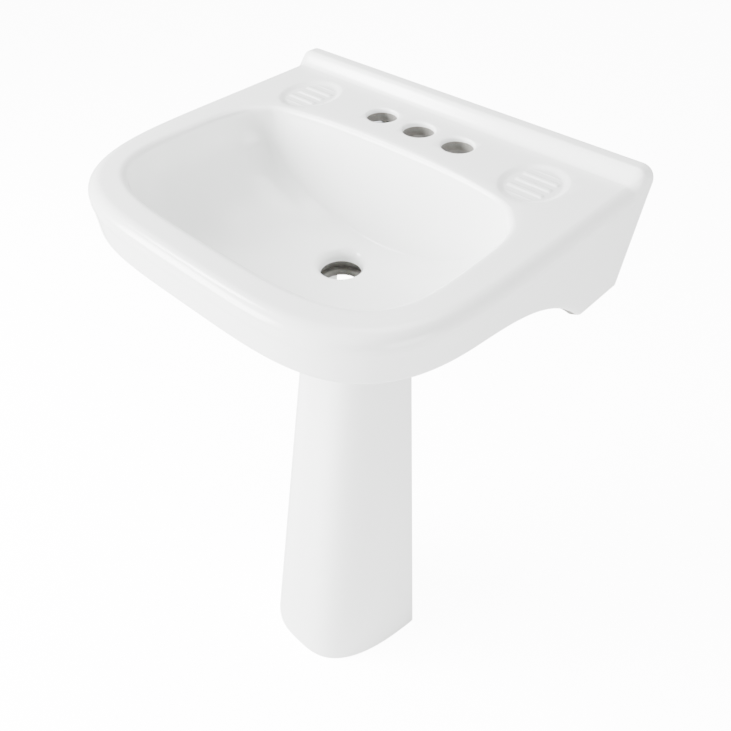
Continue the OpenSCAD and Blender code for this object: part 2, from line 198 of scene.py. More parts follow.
@dataclass
class Skin:
    """A skin drawn out ring by ring from one closed outline.

    Attributes:
        name: Name of the piece.
        rings: Points of the rings, in metres, as (ring, point, axis).
        joined: Whether the last ring runs into the first; otherwise both ends get a flat face.
    """

    name: str
    rings: np.ndarray
    joined: bool = False

    def draw(self) -> bpy.types.Object:
        """Extrudes the outline through all the rings and closes the skin.

        Returns:
            The new object, with the ring and the place in the ring of each point as attributes.
        """
        count = self.rings.shape[1]
        bpy.ops.object.select_all(action="DESELECT")
        bpy.ops.mesh.primitive_circle_add(vertices=count, radius=0.1)
        piece = bpy.context.object
        piece.name = self.name
        piece.data.name = self.name
        bpy.ops.object.mode_set(mode="EDIT")
        mesh = bmesh.from_edit_mesh(piece.data)
        mesh.verts.layers.int.new("place")
        mesh.verts.layers.int.new("ring")
        mesh.verts.ensure_lookup_table()
        place = mesh.verts.layers.int["place"]
        for k, point in enumerate(mesh.verts):
            point[place] = k
            point.co = self.rings[0, k]
        for k in range(1, len(self.rings)):
            bpy.ops.mesh.extrude_edges_move()
            mesh = bmesh.from_edit_mesh(piece.data)
            place, ring = mesh.verts.layers.int["place"], mesh.verts.layers.int["ring"]
            mesh.verts.ensure_lookup_table()
            for point in mesh.verts[-count:]:
                point.co = self.rings[k, point[place]]
                point[ring] = k
        self._close(piece)
        bpy.ops.mesh.select_all(action="SELECT")
        bpy.ops.mesh.normals_make_consistent(inside=False)
        bpy.ops.object.mode_set(mode="OBJECT")
        return piece

    def _pick(self, piece: bpy.types.Object, wanted: Iterable[int]) -> None:
        """Selects the points of some rings in edit mode.

        Args:
            piece: The skin, in edit mode.
            wanted: Numbers of the rings.
        """
        chosen = set(wanted)
        bpy.ops.mesh.select_all(action="DESELECT")
        mesh = bmesh.from_edit_mesh(piece.data)
        ring = mesh.verts.layers.int["ring"]
        for point in mesh.verts:
            point.select = point[ring] in chosen
        mesh.select_flush_mode()
        for edge in mesh.edges:
            edge.select = all(p.select for p in edge.verts) and edge.is_boundary
        bmesh.update_edit_mesh(piece.data)

    def _close(self, piece: bpy.types.Object) -> None:
        """Bridges the two end rings, or fills each of them.

        Args:
            piece: The skin, in edit mode.
        """
        last = len(self.rings) - 1
        bpy.ops.mesh.select_mode(type="EDGE")
        if self.joined:
            self._pick(piece, (0, last))
            bpy.ops.mesh.bridge_edge_loops()
        else:
            for end in (0, last):
                self._pick(piece, (end,))
                bpy.ops.mesh.edge_face_add()
        bpy.ops.mesh.select_mode(type="VERT")


@dataclass
class Turning:
    """A round piece, turned from a profile about an axis.

    Attributes:
        name: Name of the piece.
        profile: Radius and height of each corner, in millimetres, from the bottom to the top.
        steps: Number of points round the piece.
    """

    name: str
    profile: list[tuple[float, float]]
    steps: int = 64

    def draw(self, joined: bool = False) -> bpy.types.Object:
        """Turns the profile about Z at the origin, in metres."""
        angle = np.linspace(0, 2 * math.pi, self.steps, endpoint=False)
        rings = [
            np.stack([r * np.cos(angle), r * np.sin(angle), np.full_like(angle, z)], 1)
            for r, z in self.profile
        ]
        return Skin(self.name, np.array(rings) * MM, joined).draw()


def cut(piece: bpy.types.Object, tool: bpy.types.Object, how: str = "DIFFERENCE") -> None:
    """Cuts a tool out of a piece, or joins it on, and removes the tool.

    Args:
        piece: The closed object that stays.
        tool: The closed object that is used up.
        how: Name of the boolean operation.
    """
    modifier = piece.modifiers.new("cut", "BOOLEAN")
    modifier.operation = how
    modifier.solver = "MANIFOLD"
    modifier.object = tool
    apply_modifiers(piece)
    bpy.data.objects.remove(tool)


def rounded(corner: tuple[float, float], radius: float, start: float, end: float,
            steps: int = 5) -> list[tuple[float, float]]:
    """Points of an arc, given its centre, its radius and two angles in degrees.

    Args:
        corner: Centre of the arc.
        radius: Radius of the arc.
        start: Angle of the first point.
        end: Angle of the last point.
        steps: Number of points.

    Returns:
        The points, each as a pair.
    """
    return [
        (corner[0] + radius * math.cos(a), corner[1] + radius * math.sin(a))
        for a in np.radians(np.linspace(start, end, steps))
    ]


# --- Finishes ---------------------------------------------------------------------------------


@dataclass
class Sheet:
    """A node tree, with short ways to add nodes and links."""

    tree: bpy.types.NodeTree

    def add(self, kind: str, links: dict[str | int, object] | None = None,
            **settings: object) -> bpy.types.Node:
        """Adds a node.

        Args:
            kind: Type name of the node.
            links: Socket name or number to a value, or to the socket that feeds it.
            **settings: Attributes of the node.

        Returns:
            The new node.
        """
        node = self.tree.nodes.new(kind)
        for key, value in settings.items():
            setattr(node, key, value)
        for key, value in (links or {}).items():
            self.feed(node.inputs[key], value)
        return node

    def feed(self, socket: bpy.types.NodeSocket, value: object) -> None:
        """Sets a socket to a value, or links it to the socket that feeds it."""
        if isinstance(value, bpy.types.NodeSocket):
            self.tree.links.new(value, socket)
        else:
            socket.default_value = value

    def maths(self, operation: str, *values: object) -> bpy.types.NodeSocket:
        """Output of a Math node on some values or sockets.

        Args:
            operation: Name of the operation.
            *values: Values, or sockets that feed them, in the order of the inputs.

        Returns:
            The socket that gives the result.
        """
        node = self.add("ShaderNodeMath", dict(enumerate(values)), operation=operation)
        return node.outputs[0]

    def ramp(self, factor: bpy.types.NodeSocket, low: float, high: float) -> bpy.types.NodeSocket:
        """Output of a clamped ramp from low to high.

        Args:
            factor: Socket of the value.
            low: Value that gives 0.
            high: Value that gives 1.

        Returns:
            The socket that gives the share.
        """
        node = self.add("ShaderNodeMapRange", {0: factor, 1: low, 2: high}, clamp=True)
        return node.outputs[0]

    def noise(self, vector: bpy.types.NodeSocket, scale: float, detail: float = 3.0,
              roughness: float = 0.5) -> bpy.types.NodeSocket:
        """Height of a noise at a scale per metre.

        Args:
            vector: Socket of the place.
            scale: Features per metre, or a socket.
            detail: Number of finer layers.
            roughness: Strength of the finer layers.

        Returns:
            The socket that gives the height.
        """
        node = self.add("ShaderNodeTexNoise", {
            "Vector": vector, "Scale": scale, "Detail": detail, "Roughness": roughness})
        return node.outputs[0]

    def mix(self, factor: object, first: object, second: object) -> bpy.types.NodeSocket:
        """Colour between two colours.

        Args:
            factor: Share of the second colour.
            first: First colour, or a socket.
            second: Second colour, or a socket.

        Returns:
            The socket that gives the colour.
        """
        node = self.add("ShaderNodeMix", data_type="RGBA")
        factor_in, first_in, second_in, colour_out = 0, 6, 7, 2
        for number, value in ((factor_in, factor), (first_in, first), (second_in, second)):
            self.feed(node.inputs[number], value)
        return node.outputs[colour_out]


@dataclass(frozen=True)
class SharedEffects:
    """Shader node groups that several finishes use. Each is built once."""

    @staticmethod
    def _blank(name: str, inputs: dict[str, tuple[str, object]],
               outputs: dict[str, str]) -> tuple[bpy.types.NodeTree, Sheet, bpy.types.Node]:
        """Starts a group with named sockets.

        Args:
            name: Name of the group.
            inputs: Socket name to its type and its value.
            outputs: Socket name to its type.

        Returns:
            The group, a sheet on it and its input node.
        """
        group = bpy.data.node_groups.new(name, "ShaderNodeTree")
        for label, (kind, value) in inputs.items():
            socket = group.interface.new_socket(label, in_out="INPUT", socket_type=kind)
            socket.default_value = value
        for label, kind in outputs.items():
            group.interface.new_socket(label, in_out="OUTPUT", socket_type=kind)
        sheet = Sheet(group)
        return group, sheet, sheet.add("NodeGroupInput")

    @classmethod
    def ripple(cls) -> bpy.types.NodeTree:
        """Slow waves and fine orange peel of a fired or moulded surface.

        Returns:
            The group.
        """
        name = "surface_ripple"
        if name in bpy.data.node_groups:
            return bpy.data.node_groups[name]
        group, sheet, start = cls._blank(name, {
            "Wave Scale": ("NodeSocketFloat", 22.0), "Peel Scale": ("NodeSocketFloat", 420.0),
            "Peel Share": ("NodeSocketFloat", 0.1)}, {"Height": "NodeSocketFloat"})
        where = sheet.add("ShaderNodeTexCoord").outputs["Object"]
        waves = sheet.noise(where, start.outputs["Wave Scale"], 1.5, 0.4)
        peel = sheet.noise(where, start.outputs["Peel Scale"], 2.0, 0.5)
        height = sheet.maths("ADD", waves, sheet.maths("MULTIPLY", peel, start.outputs["Peel Share"]))
        sheet.add("NodeGroupOutput", {"Height": height})
        return group

    @classmethod
    def tint(cls) -> bpy.types.NodeTree:
        """Cloudy change between two colours, with fine specks.

        Returns:
            The group.
        """
        name = "body_tint"
        if name in bpy.data.node_groups:
            return bpy.data.node_groups[name]
        group, sheet, start = cls._blank(name, {
            "Colour": ("NodeSocketColor", (0.8, 0.8, 0.8, 1)),
            "Cloud Colour": ("NodeSocketColor", (0.7, 0.7, 0.7, 1)),
            "Cloud Scale": ("NodeSocketFloat", 9.0),
            "Speck Colour": ("NodeSocketColor", (0.4, 0.35, 0.3, 1)),
            "Speck Scale": ("NodeSocketFloat", 900.0),
            "Specks": ("NodeSocketFloat", 0.0)},
            {"Color": "NodeSocketColor", "Cloud": "NodeSocketFloat"})
        where = sheet.add("ShaderNodeTexCoord").outputs["Object"]
        cloud = sheet.ramp(sheet.noise(where, start.outputs["Cloud Scale"], 4.0, 0.6), 0.35, 0.7)
        clouded = sheet.mix(cloud, start.outputs["Colour"], start.outputs["Cloud Colour"])
        speck = sheet.ramp(sheet.noise(where, start.outputs["Speck Scale"], 2.0, 0.6), 0.66, 0.72)
        share = sheet.maths("MULTIPLY", speck, start.outputs["Specks"])
        sheet.add("NodeGroupOutput", {
            "Color": sheet.mix(share, clouded, start.outputs["Speck Colour"]), "Cloud": cloud})
        return group

    @classmethod
    def wear(cls) -> bpy.types.NodeTree:
        """Mask of worn edges and of dust that gathers in the low places.

        Returns:
            The group.
        """
        name = "edge_wear"
        if name in bpy.data.node_groups:
            return bpy.data.node_groups[name]
        group, sheet, start = cls._blank(name, {
            "Break-up Scale": ("NodeSocketFloat", 160.0), "Amount": ("NodeSocketFloat", 1.0)},
            {"Edge": "NodeSocketFloat", "Hollow": "NodeSocketFloat"})
        point = sheet.add("ShaderNodeNewGeometry").outputs["Pointiness"]
        where = sheet.add("ShaderNodeTexCoord").outputs["Object"]
        rough = sheet.noise(where, start.outputs["Break-up Scale"], 3.0, 0.6)
        edge = sheet.maths("MULTIPLY", sheet.ramp(point, 0.52, 0.6), sheet.ramp(rough, 0.3, 0.7))
        hollow = sheet.maths("MULTIPLY", sheet.ramp(point, 0.48, 0.4), sheet.ramp(rough, 0.25, 0.6))
        sheet.add("NodeGroupOutput", {
            "Edge": sheet.maths("MULTIPLY", edge, start.outputs["Amount"]),
            "Hollow": sheet.maths("MULTIPLY", hollow, start.outputs["Amount"])})
        return group


@dataclass(frozen=True)
class Finish:
    """A material built round one Principled shader.

    Attributes:
        name: Name of the material.
        colour: Main linear colour.
        cloud_colour: Colour that it drifts towards.
        roughness: Lowest roughness.
        rough_range: How much the clouds add to the roughness.
        cloud_scale: Clouds per metre.
        specks: Share of full strength at which specks show.
        speck_scale: Specks per metre.
        wave_scale: Slow waves of the surface per metre.
        peel_scale: Fine bumps of the surface per metre.
        peel_share: Height of the fine bumps as a share of the waves.
        bump_depth: Height of the waves, in metres.
        wear_scale: Scale that breaks the worn edges up, per metre.
        wear_amount: Strength of worn edges and dust; none leaves the group out.
        worn_colour: Colour of worn edges.
        dust_colour: Colour of the dust in hollows.
        sockets: Sockets of the shader that hold one value all over.
    """

    name: str
    colour: tuple[float, float, float]
    cloud_colour: tuple[float, float, float]
    roughness: float
    rough_range: float
    cloud_scale: float = 9.0
    specks: float = 0.0
    speck_scale: float = 900.0
    wave_scale: float = 22.0
    peel_scale: float = 420.0
    peel_share: float = 0.1
    bump_depth: float = 0.0001
    wear_scale: float = 160.0
    wear_amount: float = 0.0
    worn_colour: tuple[float, float, float] = (0.6, 0.6, 0.6)
    dust_colour: tuple[float, float, float] = (0.5, 0.48, 0.45)
    sockets: dict[str, float] = field(default_factory=dict)

    def material(self) -> bpy.types.Material:
        """Builds the material, or gives back the one that was built before.

        Returns:
            The material.
        """
        if self.name in bpy.data.materials:
            return bpy.data.materials[self.name]
        made = bpy.data.materials.new(self.name)
        made.use_nodes = True
        made.diffuse_color = (*self.colour, 1.0)
        sheet = Sheet(made.node_tree)
        shader = made.node_tree.nodes["Principled BSDF"]
        for socket, value in self.sockets.items():
            shader.inputs[socket].default_value = value
        tint = sheet.add("ShaderNodeGroup", node_tree=SharedEffects.tint())
        for socket, value in {
            "Colour": (*self.colour, 1), "Cloud Colour": (*self.cloud_colour, 1),
            "Cloud Scale": self.cloud_scale, "Specks": self.specks,
            "Speck Scale": self.speck_scale}.items():
            tint.inputs[socket].default_value = value
        colour = tint.outputs["Color"]
        rough = sheet.maths("MULTIPLY_ADD", tint.outputs["Cloud"], self.rough_range, self.roughness)
        if self.wear_amount:
            wear = sheet.add("ShaderNodeGroup", node_tree=SharedEffects.wear())
            wear.inputs["Break-up Scale"].default_value = self.wear_scale
            wear.inputs["Amount"].default_value = self.wear_amount
            colour = sheet.mix(wear.outputs["Hollow"], colour, (*self.dust_colour, 1))
            colour = sheet.mix(wear.outputs["Edge"], colour, (*self.worn_colour, 1))
            rough = sheet.maths("MULTIPLY_ADD", wear.outputs["Hollow"], 0.3, rough)
        links = made.node_tree.links
        links.new(colour, shader.inputs["Base Color"])
        links.new(rough, shader.inputs["Roughness"])
        ripple = sheet.add("ShaderNodeGroup", node_tree=SharedEffects.ripple())
        ripple.inputs["Wave Scale"].default_value = self.wave_scale
        ripple.inputs["Peel Scale"].default_value = self.peel_scale
        ripple.inputs["Peel Share"].default_value = self.peel_share
        bump = sheet.add("ShaderNodeBump", {"Height": ripple.outputs["Height"],
                                            "Distance": self.bump_depth, "Strength": 1.0})
        links.new(bump.outputs["Normal"], shader.inputs["Normal"])
        return made


GLAZED_CHINA = Finish(
    "glazed_china", (0.83, 0.885, 0.85), (0.815, 0.872, 0.835), 0.07, 0.03,
    cloud_scale=7.0, wave_scale=11.0, peel_scale=260.0, peel_share=0.012, bump_depth=0.0006,
    sockets={"IOR": 1.52, "Coat Weight": 1.0, "Coat Roughness": 0.04, "Coat IOR": 1.75})
# Unglazed china whose dark grey-brown colour is painted shade: it darkens the hollow under the basin,
# the overflow chamber, the lower walls of the tap holes, the bolt holes, the side against the wall
# and the column's underside.
BARE_CHINA_SHADED = Finish(
    "bare_china", (0.2, 0.195, 0.18), (0.15, 0.145, 0.132), 0.62, 0.2,
    cloud_scale=14.0, specks=0.5, speck_scale=700.0, wave_scale=60.0, peel_scale=900.0,
    peel_share=0.6, bump_depth=0.0004)
ZINC_STEEL = Finish(
    "zinc_plated_steel", (0.55, 0.56, 0.58), (0.42, 0.44, 0.48), 0.28, 0.2,
    cloud_scale=120.0, wave_scale=260.0, peel_scale=1500.0, peel_share=0.4, bump_depth=0.00006,
    wear_scale=500.0, wear_amount=0.7, worn_colour=(0.75, 0.75, 0.74),
    dust_colour=(0.22, 0.21, 0.2), sockets={"Metallic": 1.0})
NYLON = Finish(
    "natural_nylon", (0.78, 0.77, 0.7), (0.72, 0.7, 0.62), 0.42, 0.1,
    cloud_scale=60.0, wave_scale=180.0, peel_scale=1400.0, peel_share=0.3, bump_depth=0.00008,
    wear_amount=0.4, worn_colour=(0.86, 0.86, 0.82),
    sockets={"Subsurface Weight": 0.15, "Subsurface Radius": (0.002, 0.002, 0.0015)})
PAD_RUBBER = Finish(
    "pad_rubber", (0.035, 0.035, 0.036), (0.055, 0.055, 0.057), 0.7, 0.12,
    cloud_scale=90.0, specks=0.3, speck_scale=1800.0, wave_scale=240.0, peel_scale=1600.0,
    peel_share=0.5, bump_depth=0.0001, wear_amount=0.5, worn_colour=(0.12, 0.12, 0.12),
    dust_colour=(0.2, 0.19, 0.18))


def dress(piece: bpy.types.Object, *finishes: Finish) -> None:
    """Gives an object its materials, in the order of its slots."""
    piece.data.materials.clear()
    for finish in finishes:
        piece.data.materials.append(finish.material())


def enter(piece: bpy.types.Object, node: str) -> None:
    """Puts a finished piece into the frame in place of a node.

    Args:
        piece: The finished object, with its place in its mesh.
        node: Name of the node that it stands for.
    """
    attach(piece, ROOT)
    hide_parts(node)
    log.info("%s: %d faces", piece.name, len(piece.data.polygons))


# --- Basin ------------------------------------------------------------------------------------


@dataclass
class Basin:
    """The china basin, from its lip down to the flat seat over the column. Sizes in mm."""

    width: float = 456.0
    depth: float = 384.0
    side_taper: float = 0.029
    front_len: float = 228.0
    front_power: float = 4.0
    rim_r: float = 13.0
    deck_t: float = 14.0
    skirt_t: float = 13.0
    skirt_draft: float = 0.043
    apron_h: float = 50.0
    leg_h: float = 131.0
    leg_len: float = 66.0
    arch_len: float = 191.0
    arch_power: float = 2.1
    back_h: float = 96.0
    lip_h: float = 13.0
    lip_foot: float = 31.0
    lip_top: float = 14.0
    lip_r: float = 4.0
    rim_side: float = 42.0
    rim_front: float = 36.5
    deck_d: float = 115.5
    crease_d: float = 142.0
    crease_inset: float = 21.5
    crease_h: float = 102.0
    bowl_mid_d: float = 218.0
    bowl_power: float = 3.9
    section_power: float = 2.2
    bowl_h: float = 105.0
    edge_r: float = 7.0
    bowl_t: float = 11.0
    waste_d: float = 191.0
    waste_r: float = 22.5
    recess_r: float = 30.0
    recess_h: float = 10.0
    chamber_r: float = 29.0
    chamber_h: float = 10.5
    chamber_roof: float = 5.0
    chamber_floor: float = 8.0
    tap_pitch: float = 50.8
    tap_r: float = 17.0
    tap_d: float = 70.0
    tap_edge: float = 2.5
    tap_glaze: float = 4.5
    dish_pitch: float = 297.0
    dish_d: float = 82.0
    dish_w: float = 33.0
    dish_l: float = 41.0
    dish_h: float = 2.5
    seat_w: float = 71.0
    seat_front: float = 38.5
    seat_back: float = 57.0
    seat_power: float = 3.0
    bolt_pitch: float = 200.0
    bolt_h: float = 52.0
    bolt_hole_r: float = 7.5
    back_n: int = 110
    front_n: int = 290
    waste_n: int = 9
    curve_n: int = 36
    slope_n: int = 20
    edge_n: int = 9
    rim_n: int = 18
    lip_n: int = 4
    skirt_n: int = 14
    foot_n: int = 6
    waste_edge: float = 0.9
    crowding: float = 0.5
    open_crowding: float = 0.9
    slope_share: float = 0.96
    crease_round: float = 1.5
    corner_round: float = 5.0

    def __post_init__(self) -> None:
        """Works out what the other sizes fix."""
        self.bowl_w = self.width / 2 - self.side_taper * self.bowl_mid_d - self.rim_side
        self.crease_w = self.bowl_w - self.crease_inset
        self.bowl_front = self.depth - self.rim_front - self.bowl_mid_d
        self.bowl_back = (self.bowl_mid_d - self.crease_d) / (
            1 - (self.crease_w / self.bowl_w) ** self.bowl_power) ** (1 / self.bowl_power)
        self.corner_y = self.depth - self.front_len
        self.bowl_start = self.recess_r + 3
        self.hole_z = self.bowl_h + self.recess_h
        self.seat_z = self.hole_z + self.chamber_roof + self.chamber_h + self.chamber_floor
        self.j = np.arange(self.back_n + self.front_n)
        self.at_back = self.j <= self.back_n
        self.opening = self._opening()
        reach = self.opening + np.array([0.0, self.waste_d])
        self.open_dir = np.arctan2(reach[:, 1], reach[:, 0])
        self.open_r = np.hypot(reach[:, 0], reach[:, 1])
        share = np.full(len(self.j), self.slope_share)
        back = self.at_back
        share[back] = np.minimum(share[back], (self.waste_d - self.crease_d) / reach[back, 1])
        self.crease_r = self.open_r * share
        x = self.crease_r * np.cos(self.open_dir) / self.crease_w
        self.crease_z = self.edge_r + (self.crease_h - self.edge_r) * np.sqrt(
            np.maximum(0, 1 - x * x))
        self.curve_r = self._curve_r()
        self.curve_h = (self.bowl_h - self.edge_r) / (
            1 - (self.bowl_start / self.curve_r) ** self.section_power) ** (1 / self.section_power)

    def _crowd(self, share: float) -> np.ndarray:
        """Shares along the sides and front, drawn towards the wall by a share."""
        t = (self.j - self.back_n) / self.front_n
        return t - share * np.sin(2 * math.pi * t) / (2 * math.pi)

    def _opening(self) -> np.ndarray:
        """Outline of the bowl's opening, in plan.

        Returns:
            One point for each place round the lattice.
        """
        t = math.pi * (1 - self.j / self.back_n)
        back = np.stack([self.crease_w * np.cos(t),
                         -self.crease_d + (self.crease_d - self.deck_d) * np.sin(t)], 1)
        start = math.atan2(self.bowl_mid_d - self.crease_d, self.crease_w)
        a = start - (math.pi + 2 * start) * self._crowd(self.open_crowding)
        r = super_radius(a, self.bowl_w, np.where(np.sin(a) > 0, self.bowl_back, self.bowl_front),
                         self.bowl_power)
        front = np.stack([r * np.cos(a), r * np.sin(a) - self.bowl_mid_d], 1)
        return np.where(self.at_back[:, None], back, front)

    def _curve_r(self) -> np.ndarray:
        """Reach at which the bowl's curve would come up to the rim."""
        p = self.section_power
        m = ((self.crease_z - self.edge_r) / (self.bowl_h - self.edge_r)) ** p
        c, s = self.crease_r ** p, self.bowl_start ** p
        bent = (np.maximum(c - m * s, 1) / np.maximum(1 - m, 1e-6)) ** (1 / p)
        return np.where(self.at_back, bent, self.open_r)

    def curve_z(self, r: np.ndarray) -> np.ndarray:
        """Depth of the bowl's curve at a reach from the waste hole."""
        p = self.section_power
        return self.edge_r + self.curve_h * np.maximum(0, 1 - (r / self.curve_r) ** p) ** (1 / p)

    def inner_r(self, depth: np.ndarray) -> np.ndarray:
        """Reach of the bowl's inner surface at a depth.

        Args:
            depth: Depth below the deck at each place round the bowl.

        Returns:
            The reach from the waste hole at each place.
        """
        p = self.section_power
        top = self.curve_z(self.crease_r)
        slope = lerp(self.crease_r, self.open_r, (top - depth) / (top - self.edge_r))
        bowl = self.curve_r * np.maximum(
            0, 1 - np.maximum(0, (depth - self.edge_r) / self.curve_h) ** p) ** (1 / p)
        return np.where(self.at_back & (depth < top), slope, bowl)

    def polar(self, r: np.ndarray, depth: np.ndarray) -> np.ndarray:
        """Ring of points at a reach from the waste hole and a depth."""
        flat = np.zeros(len(self.j))
        return np.stack([(r + flat) * np.cos(self.open_dir),
                         (r + flat) * np.sin(self.open_dir) - self.waste_d, flat - depth], 1)

    def outer(self, inset: Number, back: Number) -> np.ndarray:
        """Outline of the rim and the skirt, in plan.

        Args:
            inset: Distance in from the widest outline.
            back: Distance of the back edge from the wall.

        Returns:
            The points of the outline.
        """
        flat = np.zeros(len(self.j))
        inset, back = inset + flat, back + flat
        side_x = self.width / 2 - inset
        wall = np.stack([-side_x * np.cos(math.pi * self.j / self.back_n), -back], 1)
        start = np.arctan2(self.corner_y - back, side_x)
        a = start - (math.pi + 2 * start) * self._crowd(self.crowding)
        mid = side_x - self.side_taper * self.corner_y
        r = super_radius(a, mid, self.front_len - inset, self.front_power)
        across = np.where(np.cos(a) > 0, 1.0, -1.0)
        slope = np.abs(np.tan(a))
        x = mid / (1 - self.side_taper * np.where(np.sin(a) > 0, slope, 0))
        straight = np.stack([across * x, slope * x - self.corner_y], 1)
        drawn = 1 - self.side_taper * np.abs(r * np.sin(a)) / mid
        curved = np.stack([r * np.cos(a) * drawn, r * np.sin(a) - self.corner_y], 1)
        front = np.where((np.sin(a) > 0)[:, None], straight, curved)
        return np.where(self.at_back[:, None], wall, front)

    def lip_z(self, from_wall: np.ndarray) -> np.ndarray:
        """Height of the lip at a distance from the wall."""
        return self.lip_h * smooth((self.lip_foot - from_wall) / (self.lip_foot - self.lip_top))

    def edge_drop(self, inset: np.ndarray) -> np.ndarray:
        """Drop of the rim's rounded edge at an inset from the outline."""
        c = self.rim_r - np.clip(inset, 0, self.rim_r)
        return self.rim_r - np.sqrt(self.rim_r ** 2 - c * c)

    def rim_ring(self, share: float) -> np.ndarray:
        """Ring over the rounded rim and the lip, from its foot at 0 to the outline at 1."""
        inset = self.rim_r * (1 - math.sin(math.pi / 2 * share))
        p = self.outer(inset, lerp(self.lip_foot, self.lip_r, share))
        in_by = np.where(self.at_back, self.width / 2 - abs(p[:, 0]), inset)
        return np.column_stack([p, self.lip_z(-p[:, 1]) - self.edge_drop(in_by)])

    def wall_ring(self, share: float) -> np.ndarray:
        """Ring over the lip's rounded back edge, down to the wall at 1."""
        p = self.outer(0, self.lip_r * (1 - math.sin(math.pi / 2 * share)))
        fall = self.lip_r * (1 - math.cos(math.pi / 2 * share))
        in_by = np.where(self.at_back, self.width / 2 - abs(p[:, 0]), 0)
        return np.column_stack([p, self.lip_z(-p[:, 1]) - fall - self.edge_drop(in_by)])

    def lower_z(self) -> np.ndarray:
        """Depth of the lower edge: legs at the wall, an arch, then the apron."""
        p = self.outer(0, 0)
        rise = np.clip((-p[:, 1] - self.leg_len) / self.arch_len, 0, 1)
        side = lerp(self.apron_h, self.leg_h, (1 - rise) ** self.arch_power)
        back = lerp(self.leg_h, self.back_h,
                    smooth((self.width / 2 - abs(p[:, 0])) / self.leg_len))
        inner = (self.j > 0) & (self.j < self.back_n)
        return np.where(inner, back, side)

    def skirt_ring(self, share: float, inset: float, up: float) -> np.ndarray:
        """Ring on the skirt, from below the rim at 0 to the lower edge at 1.

        Args:
            share: 0 at the rim, 1 at the lower edge.
            inset: Distance in from the outside.
            up: Distance up from the edge.

        Returns:
            The points of the ring.
        """
        z = lerp(self.rim_r + 2 * self.lip_r, self.lower_z() - up, share)
        p = self.outer(self.skirt_draft * z + inset, inset)
        return np.column_stack([p, -z])

    def ceiling_z(self) -> np.ndarray:
        """Depth of the hollow's ceiling."""
        p = self.outer(0, 0)
        reach = self.depth - self.rim_front - self.bowl_mid_d
        return lerp(self.deck_t, self.apron_h * 0.62, smooth((-p[:, 1] - self.bowl_mid_d) / reach))

    def _waste_rings(self) -> list[np.ndarray]:
        """Rings up through the waste hole, round the overflow chamber, to the recess.

        Returns:
            The rings, from the seat up.
        """
        top = self.hole_z + self.chamber_roof
        low = top + self.chamber_h
        small = self.waste_edge
        corners = [
            (self.waste_r + small, self.seat_z), (self.waste_r, self.seat_z - small),
            (self.waste_r, low + small), (self.waste_r + small, low), (self.chamber_r, low),
            (self.chamber_r, top), (self.waste_r + small, top), (self.waste_r, top - small)]
        return [self.polar(r, z) for r, z in corners]

    def _bowl_rings(self) -> np.ndarray:
        """Rings from the waste hole's edge over the bowl and its rim, out to the lip's foot.

        Returns:
            The rings, from the hole outwards.
        """
        rings = []
        for a in np.linspace(0, math.pi / 2, self.waste_n):
            rings.append(self.polar(lerp(self.waste_r, self.bowl_start, 1 - math.cos(a)),
                                    lerp(self.hole_z, self.bowl_h, math.sin(a))))
        for k in range(1, self.curve_n + 1):
            r = lerp(self.bowl_start, self.crease_r, math.sin(math.pi / 2 * k / self.curve_n))
            rings.append(self.polar(r, self.curve_z(r)))
        top = self.curve_z(self.crease_r)
        for k in range(1, self.slope_n + 1):
            f = (1 - math.cos(math.pi * k / self.slope_n)) / 2
            r = lerp(self.crease_r, self.open_r, f)
            z = np.where(self.at_back, lerp(top, self.edge_r, f), self.curve_z(r))
            rings.append(self.polar(r, z))
        for a in np.linspace(0, math.pi / 2, self.edge_n)[1:]:
            rings.append(self.polar(self.open_r + self.edge_r * (1 - math.cos(a)),
                                    self.edge_r * (1 - math.sin(a))))
        edge, foot = rings[-1], self.rim_ring(0)
        for f in (0.1, 0.25, 0.5, 0.75, 0.9, 1.0):
            rings.append(lerp(edge, foot, f))
        lattice = np.array(rings)
        fixed = lattice[-1].copy()
        for j in range(lattice.shape[1]):
            lattice[:, j] = softened(lattice[:, j], self.crease_round, closed=False)
        for k in range(self.waste_n, len(lattice) - 1):
            fade = min(1.0, (k - self.waste_n + 1) / 12, (len(lattice) - 1 - k) / 5)
            width = max(0.6, self.corner_round * fade)
            lattice[k] = softened(lattice[k], width, closed=True, step=1.0)
        lattice[-1] = fixed
        return lattice

    def _outside_rings(self) -> list[np.ndarray]:
        """Rings over the lip and the rim, down the skirt and round its lower edge.

        Returns:
            The rings, from the lip down.
        """
        bend = self.skirt_t / 3
        rings = [self.rim_ring(k / self.rim_n) for k in range(1, self.rim_n + 1)]
        rings += [self.wall_ring(k / self.lip_n) for k in range(1, self.lip_n + 1)]
        rings += [self.skirt_ring(k / self.skirt_n, 0, bend) for k in range(self.skirt_n + 1)]
        turn = np.linspace(0, math.pi / 2, self.foot_n)
        rings += [self.skirt_ring(1, bend * (1 - math.cos(a)), bend * (1 - math.sin(a)))
                  for a in turn[1:]]
        return rings

